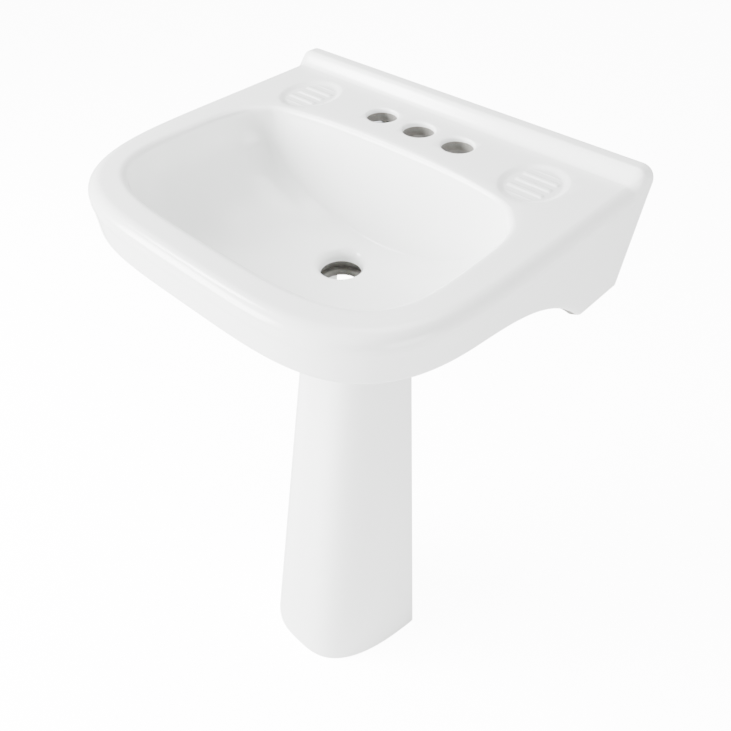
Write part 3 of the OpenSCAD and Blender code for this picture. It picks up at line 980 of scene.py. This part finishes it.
    def _hidden_rings(self) -> list[np.ndarray]:
        """Rings up inside the skirt, along the ceiling and down under the bowl to the seat.

        Returns:
            The rings, from the lower edge up and back down to the seat.
        """
        bend = self.skirt_t / 3
        turn = np.linspace(math.pi / 2, 0, self.foot_n)
        rings = [self.skirt_ring(1, self.skirt_t - bend * (1 - math.cos(a)),
                                 bend * (1 - math.sin(a))) for a in turn]
        low, top = self.lower_z() - bend, self.ceiling_z()
        for f in (0.25, 0.5, 0.75, 0.92):
            z = lerp(low, top, f)
            p = self.outer(self.skirt_draft * z + self.skirt_t, self.skirt_t)
            rings.append(np.column_stack([p, -z]))
        p = self.outer(self.skirt_draft * top + self.skirt_t + 3, self.skirt_t + 3)
        rings.append(np.column_stack([p, -top]))
        for f in np.linspace(0, 1, 9):
            z = lerp(top, self.crease_h - self.edge_r, f)
            rings.append(self.polar(self.inner_r(z) + self.bowl_t, z))
        a = self.open_dir
        reach = np.where(np.sin(a) > 0, self.seat_back, self.seat_front)
        seat = super_radius(a, self.seat_w, reach, self.seat_power)
        under = rings[-1]
        edge = self.polar(seat, self.seat_z - 5)
        rings += [lerp(under, edge, f) for f in (0.33, 0.67, 1.0)]
        rings += [self.polar(seat - 1, self.seat_z - 1.5), self.polar(seat - 3, self.seat_z)]
        return rings

    def build(self, site: Site) -> bpy.types.Object:
        """Draws the basin's skin and cuts its holes and dishes.

        Args:
            site: Where the wall and the deck stand.

        Returns:
            The finished basin.
        """
        waste, bowl = self._waste_rings(), list(self._bowl_rings())
        outside, hidden = self._outside_rings(), self._hidden_rings()
        glazed_end = len(waste) + len(bowl) + len(outside) - 1
        wall_start = len(waste) + len(bowl) + self.rim_n + self.lip_n
        rings = site.place(np.array(waste + bowl + outside + hidden))
        piece = Skin("china_basin", rings, joined=True).draw()
        dress(piece, GLAZED_CHINA, BARE_CHINA_SHADED)
        self._coat(piece, len(waste) - 1, glazed_end, wall_start)
        self._cut_holes(piece, site)
        for side in Side:
            cut(piece, self._dish_tool(side, site))
        shade(piece)
        return piece

    def _coat(self, piece: bpy.types.Object, chamber_end: int, glazed_end: int,
              wall_start: int) -> None:
        """Leaves bare what no glaze reaches: the hollow, the overflow chamber and the wall side. The
        bare material is painted dark, as painted shade.

        Args:
            piece: The skin, with its ring and place attributes.
            chamber_end: Last ring of the waste hole and its chamber.
            glazed_end: First ring of the hollow under the basin.
            wall_start: First ring of the flat that stands against the wall.
        """
        mesh = bmesh.new()
        mesh.from_mesh(piece.data)
        ring, place = mesh.verts.layers.int["ring"], mesh.verts.layers.int["place"]
        for face in mesh.faces:
            first = min(p[ring] for p in face.verts)
            against_wall = first >= wall_start and all(p[place] <= self.back_n for p in face.verts)
            in_chamber = max(p[ring] for p in face.verts) < chamber_end
            bare = first >= glazed_end or against_wall or in_chamber
            face.material_index = (Coat.BARE if bare else Coat.GLAZED).value
        mesh.to_mesh(piece.data)
        mesh.free()

    def _cut_holes(self, piece: bpy.types.Object, site: Site) -> None:
        """Cuts the tap holes, with rounded edges, and the two bolt holes in the back wall.

        Args:
            piece: The basin.
            site: Place of the deck.
        """
        r, edge = self.tap_r, self.tap_edge
        lift = 0.12
        profile = [(r, -self.deck_t - 3), (r, -self.tap_glaze)] + [
            (x, z + lift) for x, z in rounded((r + edge, -edge), edge, 180, 90, 7)] + [
            (r + edge + 0.4, 3.0)]
        for k in (-1, 0, 1):
            tool = Turning(f"tap_cut_{k}", profile, 72).draw()
            tool.location = site.place(np.array([k * self.tap_pitch, -self.tap_d, 0.0]))
            apply_place(tool)
            dress(tool, GLAZED_CHINA, BARE_CHINA_SHADED)
            # Below the glazed band the tap hole's wall takes the bare material, painted dark as
            # shade.
            line = site.deck_z - self.tap_glaze * MM
            for face in tool.data.polygons:
                face.material_index = (Coat.BARE if face.center.z < line else Coat.GLAZED).value
            cut(piece, tool)
        for side in Side:
            tool = Turning("bolt_cut", [(self.bolt_hole_r, -3), (self.bolt_hole_r, self.skirt_t + 3)],
                           48).draw()
            tool.rotation_euler = (math.pi / 2, 0, 0)
            tool.location = site.place(
                np.array([side.value * self.bolt_pitch / 2, 0.0, -self.bolt_h]))
            apply_place(tool)
            dress(tool, GLAZED_CHINA, BARE_CHINA_SHADED)
            # The bolt holes take the bare material, painted dark as shade.
            for face in tool.data.polygons:
                face.material_index = Coat.BARE.value
            cut(piece, tool)

    def _dish_depth(self, u: np.ndarray, v: np.ndarray) -> np.ndarray:
        """Depth of a soap dish at a place in it.

        Args:
            u: Distance across from the dish's middle, as a share of its half width.
            v: Distance along from the dish's middle, as a share of its half length.

        Returns:
            Depths in millimetres, falling to just above the deck at the dish's outline.
        """
        out = np.sqrt(u * u + v * v)
        bowl = self.dish_h * smooth((1.0 - out) / 0.26)
        ribs = np.cos(v * 3 * math.pi) ** 2
        on_rib = smooth((ribs - 0.45) / 0.4) * smooth((0.66 - abs(v)) / 0.1)
        short = smooth((0.62 - abs(u)) / 0.12)
        return bowl - 1.1 * on_rib * short * smooth((0.86 - out) / 0.2)

    def _dish_tool(self, side: Side, site: Site) -> bpy.types.Object:
        """Solid that presses one ribbed soap dish into the deck.

        Args:
            side: Side of the basin.
            site: Place of the deck.

        Returns:
            The solid to cut with.
        """
        angle = np.linspace(0, 2 * math.pi, 144, endpoint=False)
        rings = []
        for share in np.linspace(0.02, 1.0, 50):
            u, v = share * np.cos(angle), share * np.sin(angle)
            depth = -self._dish_depth(u, v) + 0.06
            rings.append(np.stack([u * self.dish_w, v * self.dish_l, depth], 1))
        rim = np.stack([self.dish_w * np.cos(angle), self.dish_l * np.sin(angle)], 1)
        rings.append(np.column_stack([rim * 1.03, np.full(len(rim), 0.9)]))
        rings.append(np.column_stack([rim * 1.03, np.full(len(rim), 3.0)]))
        lattice = np.array(rings) + np.array([side.value * self.dish_pitch / 2, -self.dish_d, 0.0])
        tool = Skin("dish_cut", site.place(lattice)).draw()
        dress(tool, GLAZED_CHINA)
        return tool


# --- Column -----------------------------------------------------------------------------------


@dataclass
class Column:
    """The hollow china column, open at the back, with two floor lugs. Sizes in mm."""

    height: float
    top_w: float = 61.0
    foot_w: float = 117.5
    top_d: float = 144.0
    foot_d: float = 162.0
    top_l: float = 75.5
    foot_l: float = 155.0
    power: float = 3.0
    taper: float = 0.165
    thick: float = 12.0
    edge: float = 4.0
    floor_pitch: float = 140.0
    floor_d: float = 205.0
    floor_r: float = 4.5
    lug_t: float = 14.0
    lug_l: float = 34.0
    path_n: int = 72
    end_n: int = 6
    end_round: float = 1.1
    wall_rings: int = 40
    edge_rings: int = 6

    def _half(self, w: float, l: float, d: float, inset: float) -> np.ndarray:
        """Half outline round the nose, from the right of the open back to the left."""
        a = -math.pi * np.arange(self.path_n + 1) / self.path_n
        r = super_radius(a, w - inset, l - inset, self.power)
        return np.stack([r * np.cos(a) * (1 + self.taper * r * np.sin(a) / w), r * np.sin(a) - d], 1)

    def ring(self, z: float, inset: float) -> np.ndarray:
        """Closed outline of the column's wall at a height.

        Args:
            z: Height above the floor.
            inset: How far the outline is drawn in from both faces of the wall.

        Returns:
            The ring's points, in millimetres above the floor and from the wall.
        """
        f = z / self.height
        w, l = lerp(self.foot_w, self.top_w, f), lerp(self.foot_l, self.top_l, f)
        d = lerp(self.foot_d, self.top_d, f)
        outside = self._half(w, l, d, inset)
        inside = self._half(w, l, d, self.thick - inset)[::-1]
        outside[[0, -1], 1] -= inset
        inside[[0, -1], 1] -= inset
        across = np.linspace(0, 1, self.end_n + 2)[1:-1, None]
        line = [outside, lerp(outside[-1], inside[0], across),
                inside, lerp(inside[-1], outside[0], across)]
        flat = softened(np.vstack(line), self.end_round, closed=True, step=0.3)
        return np.column_stack([flat, np.full(len(flat), z)])

    def foot_x(self, ahead: float) -> float:
        """Half width of the foot at a distance in front of its open back."""
        return (self.foot_w * (1 - (ahead / self.foot_l) ** self.power) ** (1 / self.power)
                * (1 - self.taper * ahead / self.foot_w))

    def build(self, floor: Site) -> bpy.types.Object:
        """Draws the column and joins its lugs on.

        Args:
            floor: The site, with the floor in place of the deck.

        Returns:
            The finished column.
        """
        e = self.edge
        turn = np.linspace(0, math.pi / 2, self.edge_rings)
        rings = [self.ring(e * (1 - math.sin(a)), e / 2 * (1 - math.cos(a))) for a in turn[::-1]]
        rings += [self.ring(z, 0) for z in np.linspace(e, self.height - e, self.wall_rings)[1:-1]]
        rings += [self.ring(self.height - e * (1 - math.sin(a)), e / 2.6 * (1 - math.cos(a)))
                  for a in turn]
        piece = Skin("china_column", floor.place(np.array(rings))).draw()
        dress(piece, GLAZED_CHINA, BARE_CHINA_SHADED)
        for side in Side:
            self._add_lug(piece, side, floor)
        # The column's underside takes the bare material, painted dark as shade.
        for face in piece.data.polygons:
            under = face.center.z < 0.0006 and face.normal.z < -0.9
            face.material_index = (Coat.BARE if under else Coat.GLAZED).value
        shade(piece)
        return piece

    def _add_lug(self, piece: bpy.types.Object, side: Side, floor: Site) -> None:
        """Joins one floor lug on and drills its screw hole.

        Args:
            piece: The column.
            side: Side of the foot.
            floor: Place of the floor.
        """
        out = self.foot_x(self.floor_d + self.lug_l / 2 - self.foot_d) - self.thick / 2
        inner = self.floor_pitch / 2 - self.lug_l / 2
        centre = np.array([side.value * (out + inner) / 2, -self.floor_d, self.lug_t / 2])
        bpy.ops.object.select_all(action="DESELECT")
        bpy.ops.mesh.primitive_cube_add(size=1)
        lug = bpy.context.object
        lug.scale = ((out - inner) * MM, self.lug_l * MM, self.lug_t * MM)
        lug.location = floor.place(centre)
        apply_place(lug)
        bevel = lug.modifiers.new("soft edges", "BEVEL")
        bevel.width, bevel.segments = 1.8 * MM, 4
        apply_modifiers(lug)
        dress(lug, GLAZED_CHINA)
        drill = Turning("screw_cut", [(self.floor_r, -3), (self.floor_r, self.lug_t - 2),
                                      (self.floor_r + 3, self.lug_t + 2)], 40).draw()
        drill.location = floor.place(np.array([side.value * self.floor_pitch / 2, -self.floor_d, 0]))
        apply_place(drill)
        dress(drill, GLAZED_CHINA)
        cut(lug, drill)
        cut(piece, lug, "UNION")


# --- Seat pads --------------------------------------------------------------------------------


@dataclass
class SeatPad:
    """One rubber pad between the column and the basin, dished and grooved."""

    node: str

    def build(self) -> bpy.types.Object:
        """Shapes the pad inside its node's box.

        Returns:
            The finished pad.
        """
        low, high = (Vector(c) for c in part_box(self.node))
        size = high - low
        bpy.ops.object.select_all(action="DESELECT")
        bpy.ops.mesh.primitive_cube_add(size=1)
        pad = bpy.context.object
        pad.name = self.node.replace("seat_pad", "rubber_pad")
        pad.scale = size
        pad.location = (low + high) / 2
        apply_place(pad)
        bpy.ops.object.mode_set(mode="EDIT")
        mesh = bmesh.from_edit_mesh(pad.data)
        bpy.ops.mesh.select_all(action="DESELECT")
        bpy.ops.mesh.select_mode(type="FACE")
        for face in mesh.faces:
            face.select = abs(face.normal.z) < 0.5
        bmesh.update_edit_mesh(pad.data)
        bpy.ops.mesh.inset(thickness=size.z * 0.3, use_individual=True)
        bpy.ops.mesh.inset(thickness=size.z * 0.08, depth=-size.z * 0.12, use_individual=True)
        bpy.ops.mesh.select_mode(type="VERT")
        bpy.ops.object.mode_set(mode="OBJECT")
        bevel = pad.modifiers.new("soft edges", "BEVEL")
        bevel.width, bevel.segments = size.z * 0.06, 3
        apply_modifiers(pad)
        dress(pad, PAD_RUBBER)
        shade(pad, 50)
        return pad


# --- Wall fixings -----------------------------------------------------------------------------


@dataclass
class WallFixing:
    """Hanger bolt, nylon sleeve, steel washer and nut on one side of the basin. Sizes in mm."""

    side: Side
    bolt_pitch: float = 200.0
    bolt_h: float = 52.0
    bolt_r: float = 5.0
    shank_r: float = 4.6
    bolt_out: float = 60.0
    bolt_tip: float = 6.0
    bolt_gap: float = 0.3
    skirt_t: float = 13.0
    sleeve_t: float = 1.7
    flange_t: float = 2.0
    washer_r: float = 14.0
    washer_t: float = 2.5
    nut_w: float = 17.0
    nut_t: float = 8.0
    wood_end: float = 46.0
    wood_pitch: float = 4.2
    wood_deep: float = 1.3
    fine_start: float = 68.0
    fine_pitch: float = 1.5
    fine_deep: float = 0.75

    def _set(self, piece: bpy.types.Object, site: Site, from_wall: float) -> bpy.types.Object:
        """Lays a piece along the bolt's axis, with its +Z away from the wall.

        Args:
            piece: The piece, made at the origin.
            site: Place of the deck.
            from_wall: Distance of its lower end from the wall.

        Returns:
            The same piece.
        """
        piece.rotation_euler = (math.pi / 2, 0, 0)
        piece.location = site.place(
            np.array([self.side.value * self.bolt_pitch / 2, -from_wall, -self.bolt_h]))
        apply_place(piece)
        return piece

    def _thread(self, crest: float, z: np.ndarray, angle: np.ndarray, pitch: float,
                deep: float) -> np.ndarray:
        """Radius of a helical thread at heights and angles, up to its crest.

        Args:
            crest: Radius of the crest.
            z: Heights.
            angle: Angles round the axis.
            pitch: Height of one turn.
            deep: Depth of the thread.

        Returns:
            The radius at each place.
        """
        turn = (z / pitch - angle / (2 * math.pi)) % 1.0
        return crest - deep * (1 - np.minimum(1, 1.5 * (1 - np.abs(2 * turn - 1))))

    def bolt(self, site: Site) -> bpy.types.Object:
        """Hanger bolt: wood thread in the wall, plain shank, machine thread under the nut.

        Args:
            site: Place of the deck.

        Returns:
            The bolt.
        """
        stack = self.skirt_t + self.flange_t + self.washer_t
        length = self.bolt_out + stack + self.nut_t + self.bolt_tip
        steps = 40
        angle = np.linspace(0, 2 * math.pi, steps, endpoint=False)
        heights = np.concatenate([
            np.linspace(0, self.wood_end, 116),
            np.linspace(self.wood_end + 0.5, self.fine_start, 12),
            np.linspace(self.fine_start + 0.4, length, 96)])
        rings = []
        for z in heights:
            level = np.full(steps, z)
            if z < self.wood_end:
                r = self._thread(self.bolt_r, level, angle, self.wood_pitch, self.wood_deep)
            elif z > self.fine_start:
                r = self._thread(self.shank_r, level, angle, self.fine_pitch, self.fine_deep)
            else:
                r = np.full(steps, (self.bolt_r if z < self.bolt_out - 1 else self.shank_r) - 0.1)
            r = np.minimum(r, min(self.bolt_r, 1.4 + z * 0.42, 4.0 + (length - z) * 0.9))
            rings.append(np.stack([r * np.cos(angle), r * np.sin(angle), level], 1))
        piece = Skin(f"hanger_bolt_{self.side.word}_threaded", np.array(rings) * MM).draw()
        dress(piece, ZINC_STEEL)
        shade(piece, 40)
        return self._set(piece, site, -self.bolt_out)

    def sleeve(self, site: Site) -> bpy.types.Object:
        """Flanged nylon sleeve that keeps the bolt off the china.

        Args:
            site: Place of the deck.

        Returns:
            The sleeve.
        """
        bore, wall = self.bolt_r + self.bolt_gap, self.bolt_r + self.bolt_gap + self.sleeve_t
        long, flange = self.skirt_t, self.flange_t
        profile = [(bore, 0.4), (bore + 0.4, 0), (wall - 0.4, 0), (wall, 0.4), (wall, long - 0.6),
                   (wall + 0.6, long), (self.washer_r - 0.5, long)]
        profile += rounded((self.washer_r - 0.5, long + 0.5), 0.5, -90, 0, 4)[1:]
        profile += rounded((self.washer_r - 0.7, long + flange - 0.7), 0.7, 0, 90, 4)
        profile += [(bore + 0.5, long + flange), (bore, long + flange - 0.5)]
        piece = Turning(f"nylon_sleeve_{self.side.word}", profile).draw(joined=True)
        dress(piece, NYLON)
        shade(piece)
        return self._set(piece, site, 0)

    def washer(self, site: Site) -> bpy.types.Object:
        """Stamped steel washer, rounded on one edge as a punch leaves it.

        Args:
            site: Place of the deck.

        Returns:
            The washer.
        """
        bore, r, t = self.bolt_r + self.bolt_gap, self.washer_r, self.washer_t
        profile = [(bore, 0.25), (bore + 0.25, 0), (r - 0.15, 0), (r, 0.15)]
        profile += rounded((r - 0.7, t - 0.7), 0.7, 0, 90, 5)
        profile += [(bore + 0.6, t), (bore + 0.15, t - 0.2), (bore, t - 0.6)]
        piece = Turning(f"steel_washer_{self.side.word}", profile).draw(joined=True)
        dress(piece, ZINC_STEEL)
        shade(piece)
        return self._set(piece, site, self.skirt_t + self.flange_t)

    def nut(self, site: Site) -> bpy.types.Object:
        """Hexagon nut with chamfered corners and a countersunk bore.

        Args:
            site: Place of the deck.

        Returns:
            The nut.
        """
        corner, t, bore = self.nut_w / math.sqrt(3), self.nut_t, self.shank_r
        bpy.ops.object.select_all(action="DESELECT")
        bpy.ops.mesh.primitive_cylinder_add(vertices=6, radius=corner * MM, depth=t * MM,
                                            location=(0, 0, t / 2 * MM))
        piece = bpy.context.object
        piece.name = f"hexagon_nut_{self.side.word}"
        apply_place(piece)
        flat = self.nut_w / 2 - 0.3
        rise = (corner - flat) * 0.55
        body = Turning("nut_body", [(flat, 0), (corner + 0.05, rise), (corner + 0.05, t - rise),
                                    (flat, t)], 96).draw()
        cut(piece, body, "INTERSECT")
        drill = Turning("nut_cut", [(bore + 2.2, -1.0), (bore, 0.9), (bore, t - 0.9),
                                    (bore + 2.2, t + 1.0)], 48).draw()
        cut(piece, drill)
        dress(piece, ZINC_STEEL)
        bevel = piece.modifiers.new("worn edges", "BEVEL")
        bevel.width, bevel.segments, bevel.angle_limit = 0.18 * MM, 2, math.radians(28)
        bevel.limit_method = "ANGLE"
        apply_modifiers(piece)
        shade(piece, 30)
        return self._set(piece, site, self.skirt_t + self.flange_t + self.washer_t)

    def build(self, site: Site) -> None:
        """Makes the four pieces and puts each in place of its node."""
        word = self.side.word
        enter(self.bolt(site), f"hanger_bolt_{word}")
        enter(self.sleeve(site), f"bolt_sleeve_{word}")
        enter(self.washer(site), f"bolt_washer_{word}")
        enter(self.nut(site), f"bolt_nut_{word}")


# --- Studio -----------------------------------------------------------------------------------


@dataclass(frozen=True)
class Softbox:
    """One area light, aimed at a point. Metres and watts."""

    name: str
    place: tuple[float, float, float]
    aim: tuple[float, float, float]
    size: tuple[float, float]
    power: float

    def hang(self) -> None:
        """Adds the light to the scene."""
        lamp = bpy.data.lights.new(self.name, "AREA")
        lamp.shape = "RECTANGLE"
        lamp.size, lamp.size_y = self.size
        lamp.energy = self.power
        light = bpy.data.objects.new(self.name, lamp)
        light.location = self.place
        towards = Vector(self.aim) - Vector(self.place)
        light.rotation_euler = towards.to_track_quat("-Z", "Y").to_euler()
        bpy.context.scene.collection.objects.link(light)


@dataclass
class Studio:
    """White floor, soft lights and the camera."""

    camera_place: tuple[float, float, float] = (0.42837, -0.45899, 1.12974)
    azimuth: float = 42.4246
    elevation: float = 44.026
    lens: float = 34.38
    sky: float = 0.6
    sky_shown: float = 14.0
    floor_glow: float = 11.0
    softboxes: tuple[Softbox, ...] = (
        Softbox("key", (-1.7, -2.2, 1.45), (0.0, -0.05, 0.6), (1.7, 1.4), 420.0),
        Softbox("window", (-1.55, -0.95, 2.45), (0.0, -0.2, 0.78), (0.5, 0.7), 105.0),
        Softbox("top", (0.1, 0.5, 2.6), (0.0, 0.0, 0.7), (1.2, 0.9), 34.0),
        Softbox("fill", (2.5, -0.7, 0.9), (0.1, 0.0, 0.6), (1.5, 1.5), 95.0),
    )

    def build(self) -> None:
        """Sets the floor, the sky, the lights and the camera."""
        self._lay_floor()
        self._set_sky()
        for softbox in self.softboxes:
            softbox.hang()
        self._place_camera()

    def _lay_floor(self) -> None:
        """Lays a wide white floor that glows only towards the camera, so it lights nothing."""
        bpy.ops.object.select_all(action="DESELECT")
        bpy.ops.mesh.primitive_plane_add(size=24, location=(0, 0, 0))
        floor = bpy.context.object
        floor.name = "studio_floor"
        finish = Finish("white_floor", (0.9, 0.9, 0.9), (0.88, 0.88, 0.88), 0.6, 0.1,
                        cloud_scale=3.0, bump_depth=0.0001,
                        sockets={"Emission Strength": self.floor_glow, "Specular IOR Level": 0.1})
        dress(floor, finish)
        sheet = Sheet(floor.data.materials[0].node_tree)
        seen = sheet.add("ShaderNodeLightPath").outputs["Is Camera Ray"]
        glow = sheet.mix(seen, (0, 0, 0, 1), (1, 1, 1, 1))
        shader = sheet.tree.nodes["Principled BSDF"]
        sheet.tree.links.new(glow, shader.inputs["Emission Color"])

    def _set_sky(self) -> None:
        """Fills the room with even white light, and shows it whiter than it lights."""
        world = bpy.data.worlds.new("white_room")
        world.use_nodes = True
        sheet = Sheet(world.node_tree)
        seen = sheet.add("ShaderNodeLightPath").outputs["Is Camera Ray"]
        lit, shown = (self.sky,) * 3 + (1,), (self.sky_shown,) * 3 + (1,)
        sky = sheet.mix(seen, lit, shown)
        sheet.tree.links.new(sky, sheet.tree.nodes["Background"].inputs["Color"])
        bpy.context.scene.world = world

    def _place_camera(self) -> None:
        """Puts the camera at the front right, looking down into the bowl."""
        lens = bpy.data.cameras.new("camera")
        lens.lens, lens.sensor_width = self.lens, 36.0
        lens.clip_start, lens.clip_end = 0.05, 60.0
        camera = bpy.data.objects.new("camera", lens)
        camera.location = self.camera_place
        camera.rotation_euler = (math.radians(90 - self.elevation), 0, math.radians(self.azimuth))
        bpy.context.scene.collection.objects.link(camera)
        bpy.context.scene.camera = camera


def main() -> None:
    """Builds the pieces in order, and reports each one."""
    logging.basicConfig(level=logging.INFO, format="%(name)s: %(message)s")
    Studio().build()
    basin = Basin()
    basin_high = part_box("basin")[1]
    site = Site(basin_high[1], basin_high[2] - basin.lip_h * MM)
    floor = Site(basin_high[1], 0.0)
    enter(basin.build(site), "basin")
    column = Column(height=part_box("pedestal")[1][2] / MM)
    enter(column.build(floor), "pedestal")
    for node in sorted(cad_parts):
        if node.startswith("seat_pad"):
            enter(SeatPad(node).build(), node)
    for side in Side:
        WallFixing(side).build(site)


if __name__ == "__main__":
    main()
